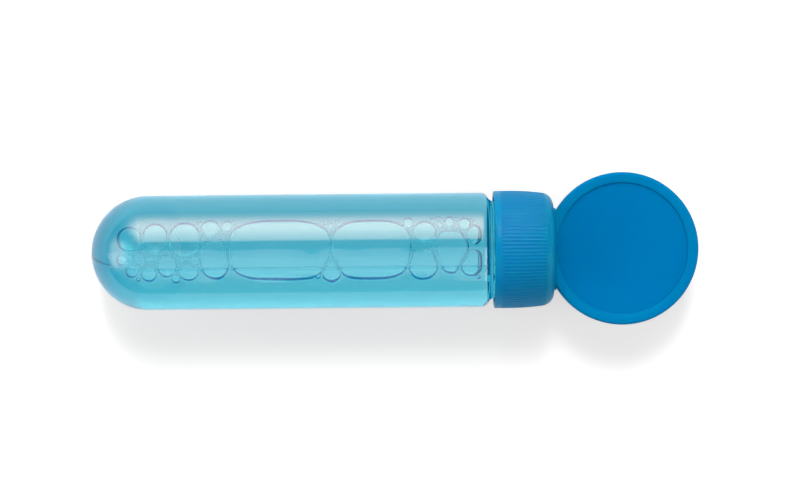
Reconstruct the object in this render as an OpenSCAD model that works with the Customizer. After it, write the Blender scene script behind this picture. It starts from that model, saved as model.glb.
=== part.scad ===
// Bubble wand: a clear round-ended tube of soap solution, closed by a ribbed screw cap
// that carries a flat disc to hold it by and, inside, a ring wand on a long stem.
// The part lies on its side. X runs along the tube towards the disc, Z is up, and the
// origin is under the middle of the whole, on the surface that it lies on.

/* [Tube] */
// Outer diameter of the tube
tube_d = 24; // [22:0.5:28]
// Length of the tube, from the tip of its dome to its shoulder
tube_len = 83.4; // [60:0.2:110]
// Wall thickness of the tube
tube_wall = 1.2; // [0.8:0.1:1.6]
// Rounding of the shoulder's outer edge
shoulder_r = 1.8; // [1:0.1:2.2]
// Thickness of the shoulder
shoulder_wall = 1.5; // [1:0.1:2]
// Rounding of the cavity under the shoulder
cavity_corner_r = 1.2; // [0.6:0.1:2]
// Diameter of the moulding gate's dimple on the dome
gate_d = 3; // [2:0.1:4]
// Depth of the gate's dimple
gate_depth = 0.3; // [0.1:0.05:0.4]

/* [Neck] */
// Outer diameter of the neck
neck_d = 20.6; // [19.8:0.1:20.8]
// Wall thickness of the neck
neck_wall = 1.6; // [1.2:0.1:1.8]
// Height of the neck above the shoulder
neck_len = 11.2; // [11:0.1:13]
// Rounding of the lip
lip_r = 0.4; // [0.2:0.05:0.6]

/* [Thread] */
// Rise of the thread in one turn
thread_pitch = 3; // [2.8:0.1:3.2]
// Turns of thread on the neck, and in the cap
thread_turns = 1.25; // [1:0.25:1.5]
// Height of the neck's thread
neck_thread_h = 0.7; // [0.4:0.05:0.75]
// Height of the cap's thread
cap_thread_h = 0.7; // [0.4:0.05:0.75]
// Width of each thread at its foot
thread_foot_w = 1.4; // [1:0.1:1.4]
// Width of each thread at its crest
thread_crest_w = 0.6; // [0.4:0.1:0.8]
// Distance from the lip down to the end of the neck's thread
thread_top = 1.7; // [1.4:0.1:2.2]

/* [Cap] */
// Outer diameter of the cap over its ribs
cap_d = 24.6; // [24:0.1:26]
// Height of the cap
cap_h = 12.5; // [12:0.1:14]
// Gap between the tube's shoulder and the cap
cap_gap = 0.95; // [0.6:0.05:1.4]
// Bore of the cap, in which the neck stands
cap_bore = 22.4; // [22.2:0.1:22.6]
// Rounding of the cap's top edge
cap_edge_r = 2.6; // [1.8:0.1:3]
// Radius of the slow curve that draws the cap in towards its top
cap_crown_r = 50; // [40:1:80]
// Height at which that slow curve starts
cap_crown_start = 3.5; // [2:0.1:5]
// Plain band at the cap's open end
cap_band = 1.4; // [1:0.1:2]
// Number of grip ribs round the cap
rib_count = 100; // [60:4:120]
// Height of a rib
rib_h = 0.22; // [0.1:0.02:0.3]
// Length of a rib
rib_len = 9.2; // [7:0.1:9.4]

/* [Cap socket] */
// Outer diameter of the collar under the cap's top
collar_d = 9.6; // [8.6:0.1:10]
// Length of the collar
collar_len = 6; // [5:0.1:7]

/* [Disc handle] */
// Diameter of the disc
disc_d = 32; // [28:0.5:40]
// Thickness of the disc
disc_t = 3.2; // [2.8:0.1:4.4]
// Distance from the cap's top to the middle of the disc
disc_reach = 14.4; // [14:0.1:18]
// Diameter of the recess in each face
recess_d = 27.6; // [22:0.1:27.7]
// Depth of each recess
recess_depth = 0.4; // [0.2:0.05:0.6]
// Rounding of the disc's rim
rim_round = 0.6; // [0.3:0.05:0.9]
// Width of the foot that stands on the cap
foot_w = 17.2; // [14:0.1:17.6]
// Height of the foot
foot_h = 0.6; // [0.4:0.05:1]
// Thickness of the foot
foot_t = 4.4; // [3.6:0.1:6]
// Diameter of the peg that is pressed into the cap
peg_d = 6.4; // [5.8:0.1:7]

/* [Wand] */
// Diameter of the stem
stem_d = 2.8; // [2:0.1:3]
// Outer diameter of the ring
ring_d = 15.6; // [12:0.2:16]
// Width of the ring's band, from its rim to the hole that holds the soap film
ring_wall = 2.2; // [1.6:0.1:3]
// Thickness of the ring
ring_t = 3; // [2:0.1:3.6]
// Depth of the grooves that hold the liquid on the ring
groove_depth = 0.45; // [0.2:0.05:0.6]
// Number of grooves on each face of the ring
groove_count = 36; // [24:2:48]
// Distance from the ring to the tip of the tube's dome
ring_standoff = 5.6; // [4:0.1:8]
// Diameter of the plug that snaps into the peg
plug_d = 3.2; // [2.8:0.1:3.4]
// Length of the plug
plug_len = 7; // [5:0.1:7.4]
// Diameter of the snap bead on the plug
bead_d = 3.8; // [3.5:0.1:4.2]
// Width of the snap bead
bead_w = 1; // [0.6:0.1:1.2]
// Diameter of the flange that stops the plug
flange_d = 5.6; // [5:0.1:6]
// Thickness of the flange
flange_t = 1; // [0.6:0.1:1.4]

/* [Seal washer] */
// Outer diameter of the foam seal washer
seal_d = 20.4; // [19.6:0.1:20.4]
// Thickness of the foam seal washer
seal_t = 0.9; // [0.7:0.05:1.1]

/* [Soap solution] */
// Distance from the lip down to the end of the liquid
fill_drop = 1.2; // [0.8:0.1:4]
// Depth of the long, flat air bubbles under the tube's top wall
air_depth = 2.8; // [2.4:0.1:3.4]

/* [Hidden] */
$fn = 96;

// Clearances
fit_gap = 0.04;      // between pieces that are pressed or snapped together
turn_gap = 0.05;     // between the plug and the socket that turns round it
flow_gap = 0.08;     // between the liquid and what it wets
seat_gap = 0.05;     // between the seal washer and its seats
loose_gap = 0.3;     // between the seal washer and the collar inside it
overrun = 0.5;       // by which a cut runs past the face it opens
weld = 0.2;          // by which a thread is sunk into the wall that carries it

// Tube and neck
tube_r = tube_d / 2;
cavity_r = tube_r - tube_wall;
neck_r = neck_d / 2;
mouth_r = neck_r - neck_wall;
lip_at = tube_len + neck_len;
cavity_end = tube_len - shoulder_wall;

// Cap: its open end, its ceiling and its top, measured from the dome's tip
cap_open_at = tube_len + cap_gap;
cap_top_at = cap_open_at + cap_h;
ceiling_at = lip_at + seal_t + 2 * seat_gap;
collar_end_at = ceiling_at - collar_len;
crown_rise = (cap_h - cap_edge_r - cap_crown_start) / (1 - cap_edge_r / cap_crown_r);
crown_angle = asin(crown_rise / cap_crown_r);
rib_turn_shares = [[-0.26, 0], [-0.22, 1], [0.22, 1], [0.26, 0]];

// Thread: both helices have the same rise, and the cap's lies half a pitch lower
thread_rise = thread_pitch * thread_turns;
neck_thread_at = lip_at - thread_top - thread_rise;
cap_thread_at = neck_thread_at - thread_pitch / 2;
thread_step = 10;    // degrees between two sections
thread_fade = 40;    // degrees over which a thread runs out at each end

// Disc handle
disc_at = cap_top_at + disc_reach;
recess_r = recess_d / 2;
rim_r = disc_d / 2 - rim_round;

// Wand
ring_at = ring_standoff + ring_d / 2;
ring_end_at = ring_standoff + ring_d;
ring_hole_r = ring_d / 2 - ring_wall;
flange_at = collar_end_at - flange_t - fit_gap;
socket_len = plug_len + fit_gap + turn_gap;
groove_turn = 360 / groove_count;
groove_share = 0.42;
bead_at_share = 0.62;
ring_edge_share = 0.2;

// The whole: its middle is over the origin and its lowest line on the surface
total_len = disc_at + disc_d / 2;
axis_h = max(cap_d, tube_d) / 2;

// Air bubbles under the tube's top wall. Each has its place along the tube as a share
// of the tube's length, then its place across and its half width as shares of the
// cavity's radius. A long one adds half of its straight length as such a share.
round_bubble_shares = [
    [0.097, 0.254, 0.225], [0.161, 0.265, 0.235], [0.236, 0.244, 0.295],
    [0.301, 0.443, 0.160], [0.341, 0.488, 0.095], [0.310, -0.170, 0.280],
    [0.081, -0.152, 0.105], [0.102, -0.328, 0.122], [0.146, -0.381, 0.148],
    [0.191, -0.268, 0.190], [0.212, -0.508, 0.080], [0.245, -0.379, 0.180],
    [0.122, -0.126, 0.112], [0.151, -0.144, 0.075], [0.261, -0.160, 0.090],
    [0.603, -0.397, 0.195], [0.602, 0.448, 0.056], [0.797, 0.530, 0.100],
    [0.839, 0.333, 0.218], [0.834, -0.268, 0.280], [0.907, -0.041, 0.285],
    [0.901, 0.548, 0.086], [0.941, 0.519, 0.100], [0.955, 0.284, 0.165],
    [0.951, -0.278, 0.205]];
long_bubble_shares = [[0.477, 0.021, 0.565, 0.390], [0.704, 0.023, 0.565, 0.185]];
bubble_sunk_share = 0.75;

// Points on an arc from angle a0 to a1, as [radius, height]
function arc(centre, r, a0, a1, steps) =
    [for (i = [0:steps]) let (a = a0 + (a1 - a0) * i / steps) centre + r * [cos(a), sin(a)]];

// Stands a shape that was made along Z on the tube's line, with Z turned to X
module on_axis(at = 0) {
    translate([at - total_len / 2, 0, axis_h])
        rotate([0, 90, 0])
            children();
}

// A thread: a tapered ridge wound round Z. The foot lies at foot_r, and the crest a
// height h away from it, outwards for a positive h and inwards for a negative one.
module thread(foot_r, h, turns, pitch) {
    steps = round(turns * 360 / thread_step);
    sunk = h > 0 ? -weld : weld;
    function fade(a) = min(1, a / thread_fade, (turns * 360 - a) / thread_fade);
    function section(a) =
        let (k = fade(a),
             crest = foot_r + h * max(k, 0),
             wide = thread_foot_w / 2,
             slim = thread_crest_w / 2 + (thread_foot_w - thread_crest_w) / 2 * (1 - k),
             z = pitch * a / 360)
        [for (p = [[foot_r + sunk, -wide], [crest, -slim], [crest, slim], [foot_r + sunk, wide]])
            [p[0] * cos(a), p[0] * sin(a), z + p[1]]];
    points = [for (i = [0:steps]) each section(i * thread_step)];
    walls = [for (i = [0:steps - 1], j = [0:3])
        let (a = 4 * i + j, b = 4 * i + (j + 1) % 4)
        each [[a, b, b + 4], [a, b + 4, a + 4]]];
    last = 4 * steps;
    ends = [[0, 3, 2], [0, 2, 1], [last, last + 1, last + 2], [last, last + 2, last + 3]];
    faces = h > 0 ? concat(walls, ends) : [for (f = concat(walls, ends)) [f[2], f[1], f[0]]];
    polyhedron(points, faces, convexity = 6);
}

// Half outline of the tube's cavity, drawn in by a gap all round and cut off at top
module cavity_outline(gap, top) {
    r = cavity_r - gap;
    corner = cavity_corner_r - gap;
    end = cavity_end - gap;
    translate([0, tube_r])
        intersection() {
            circle(r);
            translate([0, -r])
                square([r, r]);
        }
    translate([0, tube_r])
        square([r, end - corner - tube_r]);
    translate([0, end - corner])
        square([r - corner, corner]);
    translate([r - corner, end - corner])
        intersection() {
            circle(corner);
            square(corner);
        }
    translate([0, end])
        square([mouth_r - gap, top - end]);
}

// Half outline of the outside of the tube, with its shoulder, neck and lip
module tube_outline() {
    translate([0, tube_r])
        intersection() {
            circle(tube_r);
            translate([0, -tube_r])
                square([tube_r, tube_r]);
        }
    translate([0, tube_r])
        square([tube_r, tube_len - shoulder_r - tube_r]);
    translate([0, tube_len - shoulder_r])
        square([tube_r - shoulder_r, shoulder_r]);
    translate([tube_r - shoulder_r, tube_len - shoulder_r])
        intersection() {
            circle(shoulder_r);
            square(shoulder_r);
        }
    translate([0, tube_len])
        square([neck_r, neck_len - lip_r]);
    translate([0, lip_at - lip_r])
        square([neck_r - lip_r, lip_r]);
    translate([neck_r - lip_r, lip_at - lip_r])
        intersection() {
            circle(lip_r);
            square(lip_r);
        }
}

module tube() {
    color([0.36, 0.74, 0.86, 0.5])
        on_axis()
            union() {
                difference() {
                    rotate_extrude()
                        tube_outline();
                    rotate_extrude()
                        cavity_outline(0, lip_at + overrun);
                    translate([0, 0, -overrun])
                        cylinder(d = gate_d, h = overrun + gate_depth);
                }
                translate([0, 0, neck_thread_at])
                    thread(neck_r, neck_thread_h, thread_turns, thread_pitch);
            }
}

// The cap's outline from its open end to the middle of its top, drawn in by an inset
function cap_outline(inset) =
    let (r = cap_d / 2 - inset,
         bend = [r - cap_crown_r * (1 - cos(crown_angle)), cap_crown_start + crown_rise],
         centre = [bend[0] - cap_edge_r * cos(crown_angle), cap_h - cap_edge_r])
    concat(
        [[0, 0], [r, 0]],
        arc([r - cap_crown_r, cap_crown_start], cap_crown_r, 0, crown_angle, 3),
        arc(centre, cap_edge_r, crown_angle, 90, 8),
        [[0, cap_h]]);

// Half outline of the cap's shell, sunk between the ribs, with its collar
module cap_shell_outline() {
    peg_hole_r = peg_d / 2 + fit_gap;
    difference() {
        polygon(cap_outline(0));
        difference() {
            translate([0, cap_band])
                square([cap_d, rib_len]);
            polygon(cap_outline(rib_h));
        }
        translate([0, -overrun])
            square([cap_bore / 2, ceiling_at - cap_open_at + overrun]);
        square([peg_hole_r, cap_h + overrun]);
    }
    translate([peg_hole_r, collar_end_at - cap_open_at])
        square([collar_d / 2 - peg_hole_r, collar_len + weld]);
}

// The ribs stand on straight sides, and the cap's outline trims their crests
module cap_ribs() {
    turn = 360 / rib_count;
    outer = cap_d / 2 + overrun;
    root = cap_bore / 2 + overrun;
    intersection() {
        rotate_extrude()
            polygon(cap_outline(0));
        translate([0, 0, cap_band])
            linear_extrude(rib_len)
                difference() {
                    polygon([for (i = [0:rib_count - 1], p = rib_turn_shares)
                        let (a = (i + p[0]) * turn)
                        (root + p[1] * (outer - root)) * [cos(a), sin(a)]]);
                    circle(d = cap_bore + overrun);
                }
    }
}

module screw_cap() {
    color([0.05, 0.51, 0.73])
        on_axis(cap_open_at)
            union() {
                rotate_extrude()
                    cap_shell_outline();
                cap_ribs();
                translate([0, 0, cap_thread_at - cap_open_at])
                    thread(cap_bore / 2, -cap_thread_h, thread_turns, thread_pitch);
            }
}

// Stands a shape that was made flat on the surface at a place on the tube's line
module flat_at(at) {
    translate([at - total_len / 2, 0, axis_h])
        children();
}

// Half outline of the disc, with a recess in each face and a rounded rim
module disc_outline() {
    web_t = disc_t - 2 * recess_depth;
    side_t = disc_t - 2 * rim_round;
    translate([0, -web_t / 2])
        square([recess_r, web_t]);
    translate([recess_r, -disc_t / 2])
        square([rim_r - recess_r, disc_t]);
    translate([rim_r, -side_t / 2])
        square([rim_round, side_t]);
    for (side = [-1, 1])
        translate([rim_r, side * side_t / 2])
            circle(rim_round);
}

// The plug's snap bead, or its groove in the socket when a gap is given
module bead(gap) {
    half = bead_w / 2 + 2 * gap;
    translate([0, 0, collar_end_at + plug_len * bead_at_share])
        for (side = [0, 1])
            mirror([0, 0, side])
                cylinder(d1 = bead_d + 2 * gap, d2 = plug_d + 2 * gap, h = half);
}

module disc_handle() {
    color([0.0, 0.45, 0.70])
        union() {
            difference() {
                flat_at(disc_at)
                    rotate_extrude()
                        disc_outline();
                flat_at(cap_top_at)
                    translate([-disc_d, -disc_d, -disc_t])
                        cube([disc_d, 2 * disc_d, 2 * disc_t]);
            }
            on_axis(cap_top_at)
                linear_extrude(foot_h)
                    union() {
                        square([foot_t, foot_w - foot_t], center = true);
                        for (side = [-1, 1])
                            translate([0, side * (foot_w - foot_t) / 2])
                                circle(d = foot_t);
                    }
            on_axis()
                difference() {
                    translate([0, 0, collar_end_at])
                        cylinder(d = peg_d, h = cap_top_at + foot_h / 2 - collar_end_at);
                    translate([0, 0, collar_end_at - overrun])
                        cylinder(d = plug_d + 2 * turn_gap, h = socket_len + overrun);
                    bead(turn_gap);
                }
        }
}

// Half outline of the ring, with its corners cut
module ring_outline() {
    cut = ring_wall * ring_edge_share;
    polygon([
        [ring_hole_r, cut - ring_t / 2], [ring_hole_r + cut, -ring_t / 2],
        [ring_d / 2 - cut, -ring_t / 2], [ring_d / 2, cut - ring_t / 2],
        [ring_d / 2, ring_t / 2 - cut], [ring_d / 2 - cut, ring_t / 2],
        [ring_hole_r + cut, ring_t / 2], [ring_hole_r, ring_t / 2 - cut]]);
}

module bubble_wand() {
    groove_w = groove_share * groove_turn * PI / 180 * ring_d / 2;
    stem_at = ring_end_at - ring_wall / 2;
    color([0.62, 0.85, 0.93, 0.7])
        union() {
            flat_at(ring_at)
                difference() {
                    rotate_extrude()
                        ring_outline();
                    for (i = [0:groove_count - 1], side = [0, 1])
                        rotate([0, 0, (i + 0.5) * groove_turn])
                            mirror([0, 0, side])
                                translate([ring_hole_r - overrun, -groove_w / 2, ring_t / 2 - groove_depth])
                                    cube([ring_wall + 2 * overrun, groove_w, ring_t]);
                }
            on_axis() {
                translate([0, 0, stem_at])
                    cylinder(d = stem_d, h = flange_at + flange_t / 2 - stem_at);
                translate([0, 0, flange_at])
                    cylinder(d = flange_d, h = flange_t);
                translate([0, 0, flange_at + flange_t / 2])
                    cylinder(d = plug_d, h = plug_len + flange_t / 2);
                bead(0);
            }
        }
}

module seal_washer() {
    color("whitesmoke")
        on_axis(lip_at + seat_gap)
            difference() {
                cylinder(d = seal_d, h = seal_t);
                translate([0, 0, -overrun])
                    cylinder(d = collar_d + 2 * loose_gap, h = seal_t + 2 * overrun);
            }
}

// Room in the liquid for the wand, its flange and the cap's collar
module wand_room() {
    flat_at(ring_at)
        difference() {
            cylinder(d = ring_d + 2 * flow_gap, h = ring_t + 2 * flow_gap, center = true);
            cylinder(r = ring_hole_r - flow_gap, h = ring_t + overrun, center = true);
        }
    on_axis() {
        translate([0, 0, ring_end_at - flow_gap])
            cylinder(d = stem_d + 2 * flow_gap, h = flange_at - ring_end_at + flange_t / 2);
        translate([0, 0, flange_at - flow_gap])
            cylinder(d = flange_d + 2 * flow_gap, h = flange_t + 2 * flow_gap);
        translate([0, 0, collar_end_at - flow_gap])
            cylinder(d = collar_d + 2 * flow_gap, h = lip_at - collar_end_at);
    }
}

module round_bubble(p) {
    r = p[2] * cavity_r;
    across = p[1] * cavity_r;
    up = sqrt(pow(cavity_r - bubble_sunk_share * r, 2) - pow(across, 2));
    flat_at(p[0] * tube_len)
        translate([0, across, up])
            sphere(r);
}

module long_bubble(p) {
    r = p[2] * cavity_r;
    half = p[3] * cavity_r;
    flat_at(p[0] * tube_len)
        translate([0, p[1] * cavity_r, cavity_r - air_depth])
            linear_extrude(air_depth + overrun)
                union() {
                    square([2 * half, 2 * r], center = true);
                    for (side = [-1, 1])
                        translate([side * half, 0])
                            circle(r);
                }
}

module soap_solution() {
    color([0.30, 0.75, 0.88, 0.6])
        difference() {
            on_axis()
                rotate_extrude()
                    cavity_outline(flow_gap, lip_at - fill_drop);
            wand_room();
            for (p = round_bubble_shares)
                round_bubble(p);
            for (p = long_bubble_shares)
                long_bubble(p);
        }
}

tube();
soap_solution();
screw_cap();
disc_handle();
bubble_wand();
seal_washer();
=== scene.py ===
import math
import random

import bpy
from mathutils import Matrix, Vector


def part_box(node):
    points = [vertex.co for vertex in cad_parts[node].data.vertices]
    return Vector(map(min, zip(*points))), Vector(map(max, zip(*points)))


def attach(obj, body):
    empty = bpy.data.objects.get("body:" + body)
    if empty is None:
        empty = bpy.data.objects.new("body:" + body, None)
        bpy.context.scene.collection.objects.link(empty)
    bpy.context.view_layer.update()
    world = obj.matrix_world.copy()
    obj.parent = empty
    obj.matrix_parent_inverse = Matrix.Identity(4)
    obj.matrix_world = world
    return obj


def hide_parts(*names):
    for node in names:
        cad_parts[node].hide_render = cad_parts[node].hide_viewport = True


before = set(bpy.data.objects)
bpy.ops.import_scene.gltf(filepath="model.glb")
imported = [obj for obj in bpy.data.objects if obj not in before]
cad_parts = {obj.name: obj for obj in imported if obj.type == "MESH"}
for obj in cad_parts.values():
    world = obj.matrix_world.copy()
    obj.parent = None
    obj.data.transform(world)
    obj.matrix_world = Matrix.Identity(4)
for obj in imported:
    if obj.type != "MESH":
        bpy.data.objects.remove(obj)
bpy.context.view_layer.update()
bpy.ops.object.select_all(action="DESELECT")

mm = 0.001
poleInset = 0.1                        # mm: about what the gate mark takes off the dome's tip
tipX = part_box("tube")[0].x - poleInset * mm   # places along the tube are measured from here
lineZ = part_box("screw_cap")[1].z / 2   # height of the tube's line
weld = 0.002 * mm                      # vertices closer than this become one
smoothUnder = 35                       # degrees: where faces meet more sharply, the edge shows
print("frame loaded")


# Small tools that the pieces share

def clamp(value):
    return min(1, max(0, value))


def onLine(x, r):
    # a place in the upright plane through the tube's line
    return Vector((tipX + x * mm, 0, lineZ + r * mm))


def arcPoints(x, r, radius, start, stop, steps, skipFirst=False):
    # degrees run from the line's direction towards the outside
    turns = range(1 if skipFirst else 0, steps + 1)
    angles = [math.radians(start + (stop - start) * i / steps) for i in turns]
    return [(x + radius * math.cos(a), r + radius * math.sin(a)) for a in angles]


def drawLine(name, points, closed=False):
    # one vertex, extruded from place to place
    bpy.ops.object.select_all(action="DESELECT")
    bpy.ops.mesh.primitive_plane_add(size=mm, location=(0, 0, 0))
    piece = bpy.context.object
    piece.name = piece.data.name = name
    bpy.ops.object.mode_set(mode="EDIT")
    bpy.ops.mesh.select_all(action="SELECT")
    bpy.ops.mesh.merge(type="CENTER")
    bpy.ops.transform.translate(value=points[0])
    here = points[0]
    for point in points[1:]:
        bpy.ops.mesh.extrude_vertices_move(TRANSFORM_OT_translate={"value": point - here})
        here = point
    if closed:
        bpy.ops.mesh.select_all(action="SELECT")
        bpy.ops.mesh.remove_doubles(threshold=weld)
    return piece


def spinAll(steps, turn=360, center=None, axis=(1, 0, 0), copies=False):
    center = center or (0, 0, lineZ)
    bpy.ops.mesh.select_all(action="SELECT")
    bpy.ops.mesh.spin(steps=steps, angle=math.radians(turn), center=center, axis=axis, dupli=copies)
    bpy.ops.mesh.select_all(action="SELECT")
    bpy.ops.mesh.remove_doubles(threshold=weld)


def closeUp(smooth=smoothUnder, outward=True):
    bpy.ops.mesh.select_all(action="SELECT")
    bpy.ops.mesh.normals_make_consistent(inside=not outward)
    bpy.ops.object.mode_set(mode="OBJECT")
    bpy.ops.object.shade_smooth_by_angle(angle=math.radians(smooth))


def pick(piece, test):
    # selects the vertices that pass a test on their place
    bpy.ops.object.mode_set(mode="OBJECT")
    for part in (piece.data.polygons, piece.data.edges):
        for p in part:
            p.select = False
    for v in piece.data.vertices:
        v.select = test(v.co)
    bpy.ops.object.mode_set(mode="EDIT")
    bpy.ops.mesh.select_mode(type="VERT")


def turnPiece(name, line, steps, smooth=smoothUnder):
    # a round piece, turned on the tube's line
    piece = drawLine(name, [onLine(*point) for point in line])
    spinAll(steps)
    closeUp(smooth)
    return piece


def joinAll(pieces):
    bpy.ops.object.select_all(action="DESELECT")
    for p in pieces:
        p.select_set(True)
    bpy.context.view_layer.objects.active = pieces[0]
    bpy.ops.object.join()
    return pieces[0]


def applyModifier(piece, kind, **values):
    bpy.ops.object.select_all(action="DESELECT")
    piece.select_set(True)
    bpy.context.view_layer.objects.active = piece
    modifier = piece.modifiers.new(kind.title(), kind)
    for key, value in values.items():
        setattr(modifier, key, value)
    bpy.ops.object.modifier_apply(modifier=modifier.name)


def unite(piece, other):
    applyModifier(piece, "BOOLEAN", operation="UNION", solver="EXACT", object=other)
    bpy.data.objects.remove(other)


def makeThread(name, turns):
    # a ridge wound on the line: inward where its height is negative
    section = [(-turns["foot"] / 2, -turns["sunk"]), (-turns["crest"] / 2, turns["height"]),
               (turns["crest"] / 2, turns["height"]), (turns["foot"] / 2, -turns["sunk"])]
    start, radius = turns["start"], turns["radius"]
    section = [Vector(((start + x) * mm + tipX, 0, (radius + r) * mm)) for x, r in section]
    ridge = drawLine(name, section)
    bpy.ops.mesh.select_all(action="SELECT")
    bpy.ops.mesh.edge_face_add()
    bpy.ops.mesh.delete(type="ONLY_FACE")
    bpy.ops.object.mode_set(mode="OBJECT")
    steps = turns["degrees"] // turns["stepDegrees"]
    applyModifier(ridge, "SCREW", axis="X", angle=math.radians(-turns["degrees"]),
                  screw_offset=turns["pitch"] * turns["degrees"] / 360 * mm,
                  steps=steps, render_steps=steps, use_merge_vertices=False)
    # the ridge runs out at both ends
    foot, middle, rise = radius * mm, tipX + start * mm, turns["pitch"] * mm / 360
    for v in ridge.data.vertices:
        away = math.hypot(v.co.y, v.co.z)
        angle = math.degrees(math.atan2(-v.co.y, v.co.z)) % 360
        around = min((angle + 360 * k for k in range(-1, 3)),
                     key=lambda a: abs(middle + rise * a - v.co.x))
        left = max(0, min(around, turns["degrees"] - around)) / turns["fadeDegrees"]
        if left < 1:
            height = (away - foot) * left
            v.co.y *= (foot + height) / away
            v.co.z *= (foot + height) / away
    bpy.ops.object.mode_set(mode="EDIT")
    bpy.ops.mesh.select_all(action="DESELECT")
    bpy.ops.mesh.select_mode(type="EDGE")
    bpy.ops.mesh.select_non_manifold()
    bpy.ops.mesh.fill_holes(sides=len(section))
    bpy.ops.mesh.select_mode(type="VERT")
    bpy.ops.mesh.select_all(action="SELECT")
    bpy.ops.transform.translate(value=(0, 0, lineZ))
    closeUp()
    return ridge


# Camera, light and the surface that it lies on

stageSetup = {
    "cameraHeight": 0.62,     # above the surface
    "viewWidth": 0.16784,     # metres across the picture at the tube's height
    "shift": (1.1, 0.41),     # the picture's middle, in mm from the object's
    "roll": -0.55,            # degrees
    "sensor": 36,             # mm
    "surfaceSize": 6,         # metres
    "surfaceRough": 0.9,
    "surfacePale": 0.9,
    "surfaceGlow": 0.46,      # the surface is lit a little from below
    "paintedMirroredGlow": 0.32,     # painted shade: the surface glows less where a piece mirrors it
    "paintedThroughGlow": 0.58,      # painted light: it glows more where it is seen through the tube, in place of light the tube passes on
    "paintedThroughPale": 0.24,      # painted shade: how pale the surface is when seen through the tube
    "paintedGathered": 0.015,        # the painted light there is brighter towards -Y, per mm
    "paintedGatherWidth": 8,         # and this far to both sides
    "diffuseShare": 0.31,     # of the studio's light, what reaches matt things
    "seenStraight": (1, 1, 1),   # the studio itself, in a side view
    "lightDetail": 1024,      # points across, in the map that light is drawn from
    # plain brightness round the object, by degrees from overhead towards +Y
    "surroundings": ((-88, 0.1), (-66, 0.33), (-46, 1.6), (-33, 1.95), (-16, 1.5), (-13, 2.3),
                     (-11, 1.5), (0, 1.35), (4.1, 1.25), (4.7, 0.05), (19, 0.05), (24, 0.4), (88, 0.4)),
}
# each stands this way round from +X, and its brightness goes by height above the surface, in degrees
softboxes = {
    "main": {
        "around": 90, "halfWidth": 16, "soft": 34, "light": 9.5, "mattLight": 1.8, "colour": (1, 0.62, 0.47),
        "profile": ((0, 0), (4, 0.08), (12, 0.19), (18, 0.43), (24, 0.74), (29, 0.86), (34, 1), (43, 0.94),
                    (51, 0.74), (60, 0.54), (66, 0.36), (69, 0))},
    # a lamp behind it gives the matt things their shadows
    "lamp": {
        "around": 90, "halfWidth": 9, "soft": 5, "light": 1.0, "mattLight": 16.5, "colour": (0, 0, 0),
        "profile": ((42, 0), (47, 1), (58, 0.9), (63, 0.3), (66, 0))},
    "left": {
        "around": 181, "halfWidth": 12, "soft": 22, "light": 4.6, "mattLight": 1.4, "colour": (1, 0.8, 0.66),
        "profile": ((0, 0), (8, 0.2), (16, 0.8), (22, 1), (38, 1), (52, 0))},
    "right": {
        "around": -25, "halfWidth": 18, "soft": 8, "light": 3.2, "mattLight": 0.7, "colour": (1, 1, 1),
        "profile": ((0, 0.8), (10, 1), (35, 1), (50, 0))},
}
# light passes in and out of tube, liquid and bubbles many times,
# and brightest cuts off stray bright points
pictureSetup = {"bounces": 24, "mirrorBounces": 8, "brightest": 6, "mirrorBlur": 0.3, "mattBounces": 0}
white = (1, 1, 1, 1)


def makeCamera():
    data = bpy.data.cameras.new("viewCamera")
    camera = bpy.data.objects.new("viewCamera", data)
    bpy.context.scene.collection.objects.link(camera)
    height = stageSetup["cameraHeight"]
    data.sensor_width = stageSetup["sensor"]
    data.lens = stageSetup["sensor"] * (height - lineZ) / stageSetup["viewWidth"]
    camera.location = (stageSetup["shift"][0] * mm, stageSetup["shift"][1] * mm, height)
    camera.rotation_euler = (0, 0, math.radians(stageSetup["roll"]))
    bpy.context.scene.camera = camera


def feed(tree, value, socket):
    # a socket takes a link or a plain value
    if isinstance(value, bpy.types.NodeSocket):
        tree.links.new(value, socket)
    elif value is not None:
        socket.default_value = value


def linkedMath(tree, operation, first, second=None, third=None):
    node = tree.nodes.new("ShaderNodeMath")
    node.operation = operation
    for socket, value in zip(node.inputs, (first, second, third)):
        feed(tree, value, socket)
    return node.outputs[0]


def linkedVector(tree, operation, first, second):
    node = tree.nodes.new("ShaderNodeVectorMath")
    node.operation = operation
    feed(tree, first, node.inputs[0])
    feed(tree, second, node.inputs["Scale"] if operation == "SCALE" else node.inputs[1])
    return node.outputs[0]


def mixVectors(tree, factor, first, second):
    node = tree.nodes.new("ShaderNodeMix")
    node.data_type = "VECTOR"
    for name, value in (("Factor", factor), ("A", first), ("B", second)):
        feed(tree, value, node.inputs[name])
    return node.outputs["Result"]


def splitUp(tree, vector):
    node = tree.nodes.new("ShaderNodeSeparateXYZ")
    tree.links.new(vector, node.inputs[0])
    return node.outputs


def rangeMask(tree, value, low, high, top=1, ease="SMOOTHSTEP"):
    # rises from 0 at low to top at high
    node = tree.nodes.new("ShaderNodeMapRange")
    node.interpolation_type = ease
    for name, limit in (("From Min", low), ("From Max", high), ("To Max", top)):
        node.inputs[name].default_value = limit
    tree.links.new(value, node.inputs["Value"])
    return node.outputs[0]


def newMaterial(name, values):
    material = bpy.data.materials.new(name)
    material.use_nodes = True
    shader = material.node_tree.nodes["Principled BSDF"]
    for socket, value in values.items():
        shader.inputs[socket].default_value = value
    return material, shader


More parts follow.
